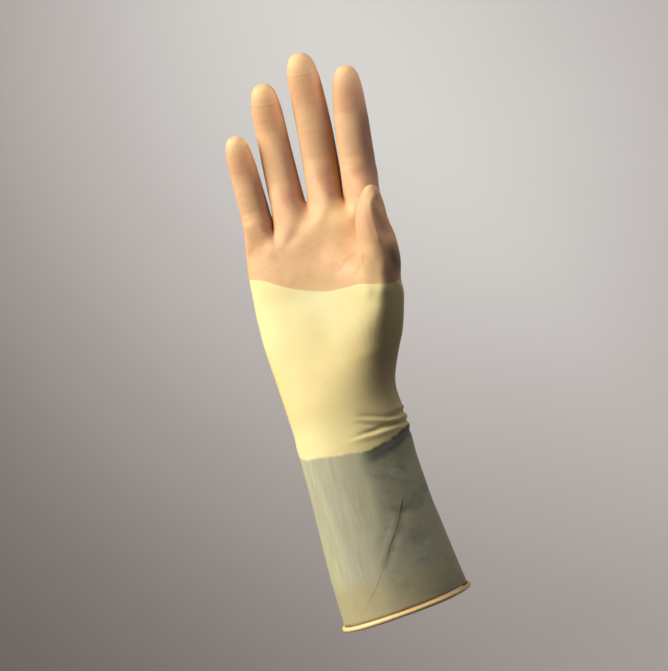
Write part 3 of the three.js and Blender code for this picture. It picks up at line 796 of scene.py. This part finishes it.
def film_piece(points, faces):
    """The film: the outer side with its folds, a coarser inner one, and the cut edge between them."""
    plain, outer, quads, rim, fields = dressed(points, faces, OUTER_LEVEL, 0)
    plain_inner, inner, inner_quads, inner_rim, inner_fields = dressed(points, faces, INNER_LEVEL, WALL)
    start = int(np.argmin([np.linalg.norm(plain[i] - plain_inner[inner_rim[0]]) for i in rim]))
    rim = rim[start:] + rim[:start]
    shift = len(outer)
    quads = quads.tolist() + (inner_quads[:, ::-1] + shift).tolist()
    for i, a in enumerate(inner_rim):
        b = inner_rim[(i + 1) % len(inner_rim)]
        first, second, third = (rim[(2 * i + j) % len(rim)] for j in range(3))
        quads += [(second, first, a + shift), (second, a + shift, b + shift), (third, second, b + shift)]
    fields = {key: np.concatenate([fields[key], inner_fields[key]]) for key in fields}
    return new_piece("latex_film", np.vstack([outer, inner]), quads, fields), plain[rim]


def bead_piece(rim):
    """The rolled bead along the sleeve's open edge."""
    bead = Cage()
    rings = []
    angles = [2 * math.pi * (j + 0.5) / BEAD_SIDES for j in range(BEAD_SIDES)]
    for i, place in enumerate(rim):
        along = rim[(i + 1) % len(rim)] - rim[i - 1]
        outward = unit(np.array((along[1], -along[0], 0)))
        turn = 2 * math.pi * i / len(rim)
        swelling = sum(w["amount"] * math.sin(w["count"] * turn + w["start"]) for w in BEAD_SWELLS)
        radius = BEAD_RADIUS * (1 + swelling)
        rise = BEAD_RISE["mm"] * math.sin(BEAD_RISE["count"] * turn + BEAD_RISE["start"])
        centre = place + outward * (BEAD_OUTWARD - WALL / 2) + (0, 0, rise - SLEEVE_END)
        sides = (outward * (radius * math.cos(a)) + (0, 0, radius * math.sin(a)) for a in angles)
        rings.append(bead.add(centre + side for side in sides))
    for i, ring in enumerate(rings):
        bead.bridge(ring, rings[i - 1])
    return new_piece("rolled_bead", np.array(bead.points), bead.faces, {})


class Shader:
    """A material's nodes, made one by one."""

    def __init__(self, name):
        self.material = bpy.data.materials.new(name)
        self.material.use_nodes = True
        self.tree = self.material.node_tree
        self.tree.nodes.clear()
        self.output = self.tree.nodes.new("ShaderNodeOutputMaterial")
        self.place = self.node("ShaderNodeTexCoord").outputs["Object"]

    def node(self, kind, inputs=None, **settings):
        made = self.tree.nodes.new(kind)
        for name, value in settings.items():
            setattr(made, name, value)
        for name, value in (inputs or {}).items():
            self.put(made.inputs[name], value)
        return made

    def put(self, socket, value):
        if isinstance(value, bpy.types.NodeSocket):
            self.tree.links.new(value, socket)
        elif isinstance(value, tuple) and len(value) == 3 and socket.type == "RGBA":
            socket.default_value = (*value, 1)
        else:
            socket.default_value = value

    def math(self, operation, a, b=0, c=0):
        return self.node("ShaderNodeMath", {0: a, 1: b, 2: c}, operation=operation).outputs[0]

    def field(self, name):
        return self.node("ShaderNodeAttribute", attribute_name=name).outputs["Fac"]

    def step(self, value, low, high, to_low=0, to_high=1):
        inputs = {"Value": value, "From Min": low, "From Max": high, "To Min": to_low, "To Max": to_high}
        return self.node("ShaderNodeMapRange", inputs, interpolation_type="SMOOTHSTEP").outputs["Result"]

    def layered(self, colour, *layers):
        """A colour with others laid over it in turn, each by its amount."""
        for amount, over in layers:
            made = self.node("ShaderNodeMix", {0: amount, 6: colour, 7: over}, data_type="RGBA")
            colour = made.outputs[2]
        return colour

    def scaled(self, value, factor, start):
        return self.math("MULTIPLY_ADD", value, factor, start)

    def product(self, first, *others):
        for other in others:
            first = self.math("MULTIPLY", first, other)
        return first

    def near(self, value, place, half, amount, core=0):
        """The amount where a value is near a place, fading to none half away."""
        away = self.math("ABSOLUTE", self.math("SUBTRACT", value, place))
        return self.step(away, half, core, 0, amount)

    def noise(self, scale, detail=3, roughness=0.55, stretch=(1, 1, 1), distortion=0):
        place = self.node("ShaderNodeMapping", {"Vector": self.place, "Scale": stretch}).outputs["Vector"]
        inputs = {"Vector": place, "Scale": scale, "Detail": detail, "Roughness": roughness}
        inputs["Distortion"] = distortion
        return self.node("ShaderNodeTexNoise", inputs).outputs["Fac"]

    def pattern(self, name):
        return self.noise(*PATTERNS[name])

    def mottle(self, name, amount, low=0.45, high=0.75):
        """The amount where a pattern is high."""
        return self.step(self.pattern(name), low, high, 0, amount)

    def axes(self):
        return self.node("ShaderNodeSeparateXYZ", {"Vector": self.place}).outputs

    def bump(self, height, distance, strength=1, **others):
        inputs = {"Height": height, "Distance": distance, "Strength": strength, **others}
        return self.node("ShaderNodeBump", inputs).outputs["Normal"]

    def surface(self, shader):
        self.tree.links.new(shader, self.output.inputs["Surface"])
        return self.material

    def latex(self, colour, normal, values):
        inputs = {"Base Color": colour, "Normal": normal, **values}
        return self.surface(self.node("ShaderNodeBsdfPrincipled", inputs).outputs["BSDF"])


def srgb(*levels):
    """A colour given as 0 to 255 on a screen, as the linear values that a shader takes."""
    return tuple(((v / 255 + 0.055) / 1.055) ** 2.4 if v > 10 else v / 255 / 12.92 for v in levels)


# The film's tints: on the palm's heel and the wrist, on the fingers and palm, and on the sleeve.
CREAM = srgb(248, 232, 160)
# Painted light on the cream.
CREAM_PAINTED_LIGHT = srgb(255, 246, 186)
CREAM_DEEP = srgb(238, 214, 142)
BARE = srgb(231, 186, 131)
BARE_PINK = srgb(224, 164, 116)
# Painted shade on the fingers and palm: down their sides, at their roots, in fine wrinkles and by the cap's
# edge.
BARE_PAINTED_SHADE = srgb(182, 138, 101)
# Painted shadow on the fingers and palm, by the thumb.
BARE_PAINTED_SHADOW = srgb(50, 32, 28)
# The yellower cap, its colour also used for painted highlights on the fingers and palm.
CAP_AND_HIGHLIGHT = srgb(243, 206, 140)
OLIVE = srgb(192, 187, 150)
OLIVE_DEEP = srgb(168, 164, 132)
# Painted light along the sleeve's left edge.
OLIVE_PAINTED_LIGHT = srgb(206, 204, 152)
OLIVE_WARM = srgb(188, 174, 124)
OLIVE_SHADE = srgb(162, 160, 128)
OLIVE_BROWN = srgb(146, 138, 108)
OLIVE_BLUE = srgb(108, 116, 104)
OLIVE_TEAL = srgb(84, 94, 84)
# Painted shade in the sleeve's long crease.
SLEEVE_CREASE_SHADE = srgb(74, 76, 65)
# Painted shade in the sunken folds.
CREASE_SHADE = srgb(150, 112, 66)
BEAD = srgb(255, 228, 150)
# The rolled latex's amber, also painted shade along the bead's top.
BEAD_AMBER_AND_SHADE = srgb(224, 156, 70)


# The patterns of the materials. Each gives noise its scale and, where unusual, its other values in order.
PATTERNS = {
    "patches": (70,),
    "streaks": (38, 4, 0.6, (6, 6, 0.5), 0.7),
    "fine streaks": (150, 3, 0.5, (6, 6, 0.4), 0.6),
    "cap edge": (90, 2),
    "blush": (110,),
    "wrinkles": (170, 4, 0.6, (1, 1, 2)),
    "brown": (40, 5, 0.6, (1, 1, 1.5)),
    "blue": (58, 5, 0.6, (1, 1, 1.8)),
    "hem": (60,),
    "band": (70,),
    "crease edge": (300, 2),
    "crease breaks": (110, 2),
    "grain": (1500, 2),
    "gloss": (200, 2),
    "bead patches": (160, 2),
    "bead grain": (900,),
    "backdrop": (1.6,),
}
# Thin lines round the edge of the cap, so far past it in mm: a painted highlight, then a painted shade, along
# the small crease there.
CAP_LINES = table("past half amount colour", (0.6, 0.9, 0.32, CAP_AND_HIGHLIGHT), (1.9, 0.8, 0.25, BARE_PAINTED_SHADE))
# How strongly the patches' painted light and painted shadow are laid on.
PAINTED_PATCH_AMOUNT = {"light": 0.8, "dark": 0.9}
# Heights in metres from where a tint is missing to where it is full.
DEEP_FROM = (0.104, 0.116)
DEEP_TO = (0.158, 0.138)
HEM = (0.029, 0.018)
RIBS_AROUND = 122
# Relief finer than the mesh, in metres.
RIB_HEIGHT = 0.00001
STREAK_HEIGHT = 0.0002
GRAIN_HEIGHT = 0.00005
BEAD_GRAIN_HEIGHT = 0.0001
GLOSS = {"roughness": 0.46, "change": 0.16}
SHEEN = {"Sheen Weight": 0.12, "Sheen Roughness": 0.4, "Sheen Tint": (1, 0.9, 0.6)}
LATEX = {"IOR": 1.45, "Specular IOR Level": 0.35, **SHEEN}
# Where the bead turns amber: metres above its middle, and across the sleeve.
# The amber there is partly the rolled latex's colour and partly painted shade in the gap by the film.
AMBER = {"level": (0.0007, 0.00125), "side": (-0.012, 0.012)}
BEAD_LATEX = {"Roughness": 0.38, "IOR": 1.5, "Specular IOR Level": 0.5}


class FilmShader(Shader):
    """The film's nodes, with the values that its tints share."""

    def __init__(self):
        super().__init__("latex")
        self.x, y, self.z = self.axes()
        self.above_bare = self.field("above_bare")
        self.above_sleeve = self.field("above_sleeve")
        self.bare = self.step(self.above_bare, -0.5, 0.5)
        self.cream = self.step(self.above_sleeve, -0.9, 0.9)
        self.ribs = self.math("SINE", self.product(self.math("ARCTAN2", y, self.x), RIBS_AROUND))
        self.fine_streaks = self.pattern("fine streaks")
        # Painted light where a patch is negative, painted shadow where it is positive.
        patch = self.field("patch")
        self.painted_light = self.product(self.math("MINIMUM", patch, 0), -PAINTED_PATCH_AMOUNT["light"])
        self.painted_shadow = self.product(self.math("MAXIMUM", patch, 0), PAINTED_PATCH_AMOUNT["dark"])


def cream_tint(s):
    """Cream on the palm's heel and the wrist, deeper in a band and in the ribs, with painted light in
    patches.
    """
    band = s.product(s.step(s.z, *DEEP_TO), s.step(s.z, *DEEP_FROM))
    deep = s.scaled(band, 0.6, s.mottle("patches", 0.3))
    ribs = s.step(s.ribs, -1, 1, 0, 0.15)
    return s.layered(CREAM, (deep, CREAM_DEEP), (ribs, CREAM_DEEP), (s.painted_light, CREAM_PAINTED_LIGHT))


def bare_tint(s):
    """The warm tint of the fingers and palm, flushed or in painted shade in places, with a yellower cap on
    digits.
    """
    tip = s.scaled(s.pattern("cap edge"), 2.4, s.math("SUBTRACT", s.field("tip"), 1.2))
    lines = []
    # A painted highlight and a painted shade line round the cap's edge.
    for line in CAP_LINES:
        shown = s.product(s.near(tip, line["past"], line["half"], line["amount"]), s.field("cap_line"))
        lines.append((shown, line["colour"]))
    return s.layered(
        BARE,
        (s.product(s.field("flush"), 0.75), BARE_PINK),
        # Painted shade down the digits' sides and at their roots.
        (s.field("dusk"), BARE_PAINTED_SHADE),
        (s.mottle("blush", 0.35), BARE_PINK),
        # Painted shade of fine wrinkles, in short dark strokes.
        (s.mottle("wrinkles", 0.2), BARE_PAINTED_SHADE),
        (s.step(tip, -10, 3, 0.8, 0), CAP_AND_HIGHLIGHT),
        *lines,
        # Painted shadow and painted light in patches.
        (s.painted_shadow, BARE_PAINTED_SHADOW),
        (s.painted_light, CAP_AND_HIGHLIGHT),
    )


def sleeve_tint(s):
    """Grey olive with upright streaks, mottled towards the thumb's side and warm near the bead."""
    shade = s.field("shade")
    warm = s.step(s.scaled(s.pattern("hem"), 0.006, s.z), *HEM, 0, 0.8)
    band = s.step(s.scaled(s.pattern("band"), 5, s.above_sleeve), -5.5, -1.5, 0, 0.9)
    return s.layered(
        OLIVE,
        # Painted light along the sleeve's left edge.
        (s.step(s.x, -0.02, -0.032, 0, 0.6), OLIVE_PAINTED_LIGHT),
        (s.mottle("streaks", 0.75, 0.3), OLIVE_DEEP),
        (s.step(s.fine_streaks, 0.4, 0.75, 0, 0.3), OLIVE_DEEP),
        # Painted shade towards the thumb's side, partly a deeper tint there.
        (s.product(shade, 0.75), OLIVE_SHADE),
        (s.product(s.mottle("brown", 0.45, 0.4, 0.7), shade), OLIVE_BROWN),
        (s.product(s.mottle("blue", 0.6, 0.48, 0.7), shade), OLIVE_BLUE),
        (s.product(warm, s.scaled(shade, -0.45, 1)), OLIVE_WARM),
        (s.product(band, s.step(s.x, 0, 0.01)), OLIVE_TEAL),
    )


def creased(s, colour):
    """The sleeve with its long crease: a thin line of painted shade that comes and goes, and painted light
    beside it.
    """
    side = s.math("SUBTRACT", s.field("crease_side"), 0.25)
    side = s.scaled(s.pattern("crease edge"), 0.5, side)
    along = s.field("crease_along")
    ends = s.product(s.step(along, 0, 0.06), s.step(along, 1, 0.8))
    weaker = s.step(along, 0.3, 0.5, 0.9, 0.35)
    shown = s.product(ends, weaker, s.step(s.pattern("crease breaks"), 0.35, 0.5, 0.35, 1))
    # Painted light beside the crease, painted shade in it.
    light = s.product(s.near(side, -1.1, 0.9, 0.6), shown)
    dark = s.product(s.near(side, 0, 0.55, 1, core=0.05), shown)
    return s.layered(colour, (light, OLIVE), (dark, SLEEVE_CREASE_SHADE))


def film_normal(s):
    """Ribs on the cream, streaks on the sleeve and a fine grain all over."""
    ribs = s.product(s.ribs, s.cream, s.step(s.above_bare, 0.5, -0.5))
    normal = s.bump(ribs, RIB_HEIGHT)
    streaks = s.product(s.fine_streaks, s.step(s.above_sleeve, 0.9, -0.9))
    normal = s.bump(streaks, STREAK_HEIGHT, 0.25, Normal=normal)
    return s.bump(s.pattern("grain"), GRAIN_HEIGHT, 0.5, Normal=normal)


def latex_material():
    s = FilmShader()
    sleeve = creased(s, sleeve_tint(s))
    # Painted shade in the sunken folds.
    folds = s.product(s.field("crease"), 0.35)
    colour = s.layered(sleeve, (s.cream, cream_tint(s)), (s.bare, bare_tint(s)), (folds, CREASE_SHADE))
    roughness = s.scaled(s.pattern("gloss"), GLOSS["change"], GLOSS["roughness"])
    return s.latex(colour, film_normal(s), {"Roughness": roughness, **LATEX})


def bead_material():
    s = Shader("rolled_latex")
    x, _, z = s.axes()
    level = s.math("SUBTRACT", z, s.product(x, CUFF_SLOPE))
    # Along the bead's top by the film: partly the rolled latex's amber, partly painted shade in the gap.
    amber_and_shade = s.product(s.step(level, *AMBER["level"]), s.step(x, *AMBER["side"], 0.25, 1))
    colour = s.layered(BEAD, (amber_and_shade, BEAD_AMBER_AND_SHADE), (s.mottle("bead patches", 0.25), BEAD_AMBER_AND_SHADE))
    return s.latex(colour, s.bump(s.pattern("bead grain"), BEAD_GRAIN_HEIGHT, 0.5), BEAD_LATEX)


# The camera: level with the glove's middle, looking along +Y, and rolled so that the glove leans left.
CAMERA_PLACE = Vector((8, -1270, 150.7)) * MM
CAMERA_ROLL = math.radians(18)
CAMERA_LENS = 126.6


def add_camera():
    data = bpy.data.cameras.new("camera")
    data.lens = CAMERA_LENS
    camera = added("camera", data)
    right = Vector((math.cos(CAMERA_ROLL), 0, -math.sin(CAMERA_ROLL)))
    up = Vector((math.sin(CAMERA_ROLL), 0, math.cos(CAMERA_ROLL)))
    turned = Matrix((right, up, Vector((0, -1, 0)))).transposed().to_4x4()
    camera.matrix_world = Matrix.Translation(CAMERA_PLACE) @ turned
    bpy.context.scene.camera = camera


GLOVE_MIDDLE = Vector((8, -5, 150)) * MM
# Area lights that face the glove's middle.
LIGHTS = table(
    "name azimuth elevation distance size watts colour",
    ("key", -69, 36, 1.3, (0.9, 0.9), 29, (1, 0.97, 0.97)),
    ("top", 55, 62, 1.3, (0.6, 0.6), 3.6, (1, 0.91, 1.08)),
    ("edge", 100, 5, 1.5, (0.6, 1.2), 0.7, (1, 0.9, 1)),
)
# Spots on places given in mm, each fading to nothing at its reach.
SPOT_DISTANCE = 0.8
SPOT_SIZE = 0.015
SPOT_COLOUR = (1, 0.93, 1)
SPOTS = table(
    "name at reach azimuth elevation watts colour",
    ("index tip", (57.6, -19, 287), 27, 60, -8, 6.8, SPOT_COLOUR),
    ("middle tip", (36.5, -15, 293), 28, 50, -8, 3.2, SPOT_COLOUR),
    ("ring tip", (12.5, -9, 280), 29, 50, -8, 4.4, SPOT_COLOUR),
    ("little tip", (-10.3, -6, 261), 24, 52, -8, 6.4, SPOT_COLOUR),
    ("ring side", (2, -12, 251), 15, -30, 40, 11, SPOT_COLOUR),
    ("fingers", (38, -14, 243), 72, 54, 8, 3.7, (1, 0.93, 1.06)),
    ("thumb", (51, -34, 187), 42, 72, 12, 3.9, (1, 0.92, 0.98)),
    ("sleeve", (26, -20, 50), 66, 70, 10, 2.6, (0.98, 1, 0.85)),
)
WORLD_COLOUR = (0.97, 0.9, 1.2, 1)
WORLD_STRENGTH = 0.04


def towards(azimuth, elevation):
    """The direction from the glove to a light. Azimuth is from the camera's side, negative to the left."""
    a, e = math.radians(azimuth), math.radians(elevation)
    return Vector((math.sin(a) * math.cos(e), -math.cos(a) * math.cos(e), math.sin(e)))


def place_light(data, light, at, distance):
    data.energy = light["watts"]
    data.color = light["colour"]
    direction = towards(light["azimuth"], light["elevation"])
    lamp = added(light["name"], data)
    lamp.location = at + direction * distance
    lamp.rotation_euler = direction.to_track_quat("Z", "Y").to_euler()
    lamp.visible_camera = False


def add_lights():
    for light in LIGHTS:
        data = bpy.data.lights.new(light["name"], "AREA")
        data.shape = "RECTANGLE"
        data.size, data.size_y = light["size"]
        place_light(data, light, GLOVE_MIDDLE, light["distance"])
    for spot in SPOTS:
        data = bpy.data.lights.new(spot["name"], "SPOT")
        data.spot_size = 2 * math.atan(spot["reach"] * MM / SPOT_DISTANCE)
        data.spot_blend = 1
        data.shadow_soft_size = SPOT_SIZE
        place_light(data, spot, Vector(spot["at"]) * MM, SPOT_DISTANCE)
    world = bpy.data.worlds.new("world")
    world.use_nodes = True
    background = world.node_tree.nodes["Background"]
    background.inputs["Color"].default_value = WORLD_COLOUR
    background.inputs["Strength"].default_value = WORLD_STRENGTH
    bpy.context.scene.world = world
    bpy.context.scene.view_settings.view_transform = "Standard"


# The stage: a round floor that curves up into a wall.
STAGE_RADIUS = 2.6
STAGE_CURVE = 0.9
FLOOR_HEIGHT = -0.3
STAGE_TOP = 3
STAGE_SIDES = 96
CURVE_STEPS = 12


def stage_profile():
    """The radius and height of the stage's rings."""
    rings = []
    for i in range(CURVE_STEPS + 1):
        angle = math.pi / 2 * i / CURVE_STEPS
        radius = STAGE_RADIUS - STAGE_CURVE * (1 - math.sin(angle))
        rings.append((radius, FLOOR_HEIGHT + STAGE_CURVE * (1 - math.cos(angle))))
    return [*rings, (STAGE_RADIUS, STAGE_TOP)]


def add_stage():
    cage = Cage()
    (middle,) = cage.add([(0, 0, FLOOR_HEIGHT)])
    turns = [2 * math.pi * i / STAGE_SIDES for i in range(STAGE_SIDES)]
    below = None
    for radius, height in stage_profile():
        ring = cage.add((radius * math.cos(a), radius * math.sin(a), height) for a in turns)
        if below:
            cage.bridge(ring, below)
        else:
            cage.faces += [(middle, ring[i - 1], ring[i]) for i in range(STAGE_SIDES)]
        below = ring
    stage = added_mesh("backdrop", cage.points, cage.faces)
    stage.visible_diffuse = False
    stage.visible_shadow = False
    stage.data.materials.append(backdrop_material())


# The backdrop's shade on a screen, from 0 to 255: a level at the middle of the view that changes for each
# metre to the right and upwards and bends off at two bounds, with a soft glow behind the glove.
SHADE = {"middle": 131, "right": 77.7, "up": 30.4, "low": 81, "high": 156.3}
BENDS = {"low": 20, "high": 10}
GLOW = {"shade": 68, "right": -0.064, "up": 0.3, "spread": 0.617}
UNEVENNESS = 8
# How far green and blue lie below red at each level of the shade.
BACKDROP_TINTS = table(
    "level green blue",
    (0.35, 6, 10),
    (0.45, 8, 12),
    (0.55, 8, 12),
    (0.65, 8, 13),
    (0.75, 6, 9),
    (0.85, 3, 8),
)


def backdrop_material():
    s = Shader("backdrop")
    x, _, z = s.axes()
    right = s.math("SUBTRACT", x, CAMERA_PLACE.x)
    up = s.math("SUBTRACT", z, CAMERA_PLACE.z)
    shade = s.scaled(right, SHADE["right"], SHADE["middle"])
    shade = s.scaled(up, SHADE["up"], shade)
    shade = s.math("SMOOTH_MIN", shade, SHADE["high"], BENDS["high"])
    shade = s.math("SMOOTH_MAX", shade, SHADE["low"], BENDS["low"])
    aside = s.math("SUBTRACT", right, GLOW["right"])
    above = s.math("SUBTRACT", up, GLOW["up"])
    away = s.math("ADD", s.product(aside, aside), s.product(above, above))
    glow = s.math("EXPONENT", s.product(away, -0.5 / GLOW["spread"] ** 2))
    shade = s.scaled(glow, GLOW["shade"], shade)
    uneven = s.math("SUBTRACT", s.pattern("backdrop"), 0.5)
    shade = s.scaled(uneven, UNEVENNESS, shade)
    ramp = s.node("ShaderNodeValToRGB", {"Fac": s.math("DIVIDE", shade, 255)})
    for tint in BACKDROP_TINTS:
        red = 255 * tint["level"]
        stop = ramp.color_ramp.elements.new(tint["level"])
        stop.color = (*srgb(red, red - tint["green"], red - tint["blue"]), 1)
    emission = s.node("ShaderNodeEmission", {"Color": ramp.outputs["Color"], "Strength": 1})
    return s.surface(emission.outputs["Emission"])


DIGIT_LINES = digit_lines()
add_camera()
add_lights()
add_stage()

cage = glove_cage()
film, cuff_rim = film_piece(fitted(cage), cage.faces)
film.data.materials.append(latex_material())
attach(film, "root")
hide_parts("hand_film", "sleeve_film")

bead = bead_piece(cuff_rim)
bead.data.materials.append(bead_material())
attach(bead, "root")
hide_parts("cuff_bead")
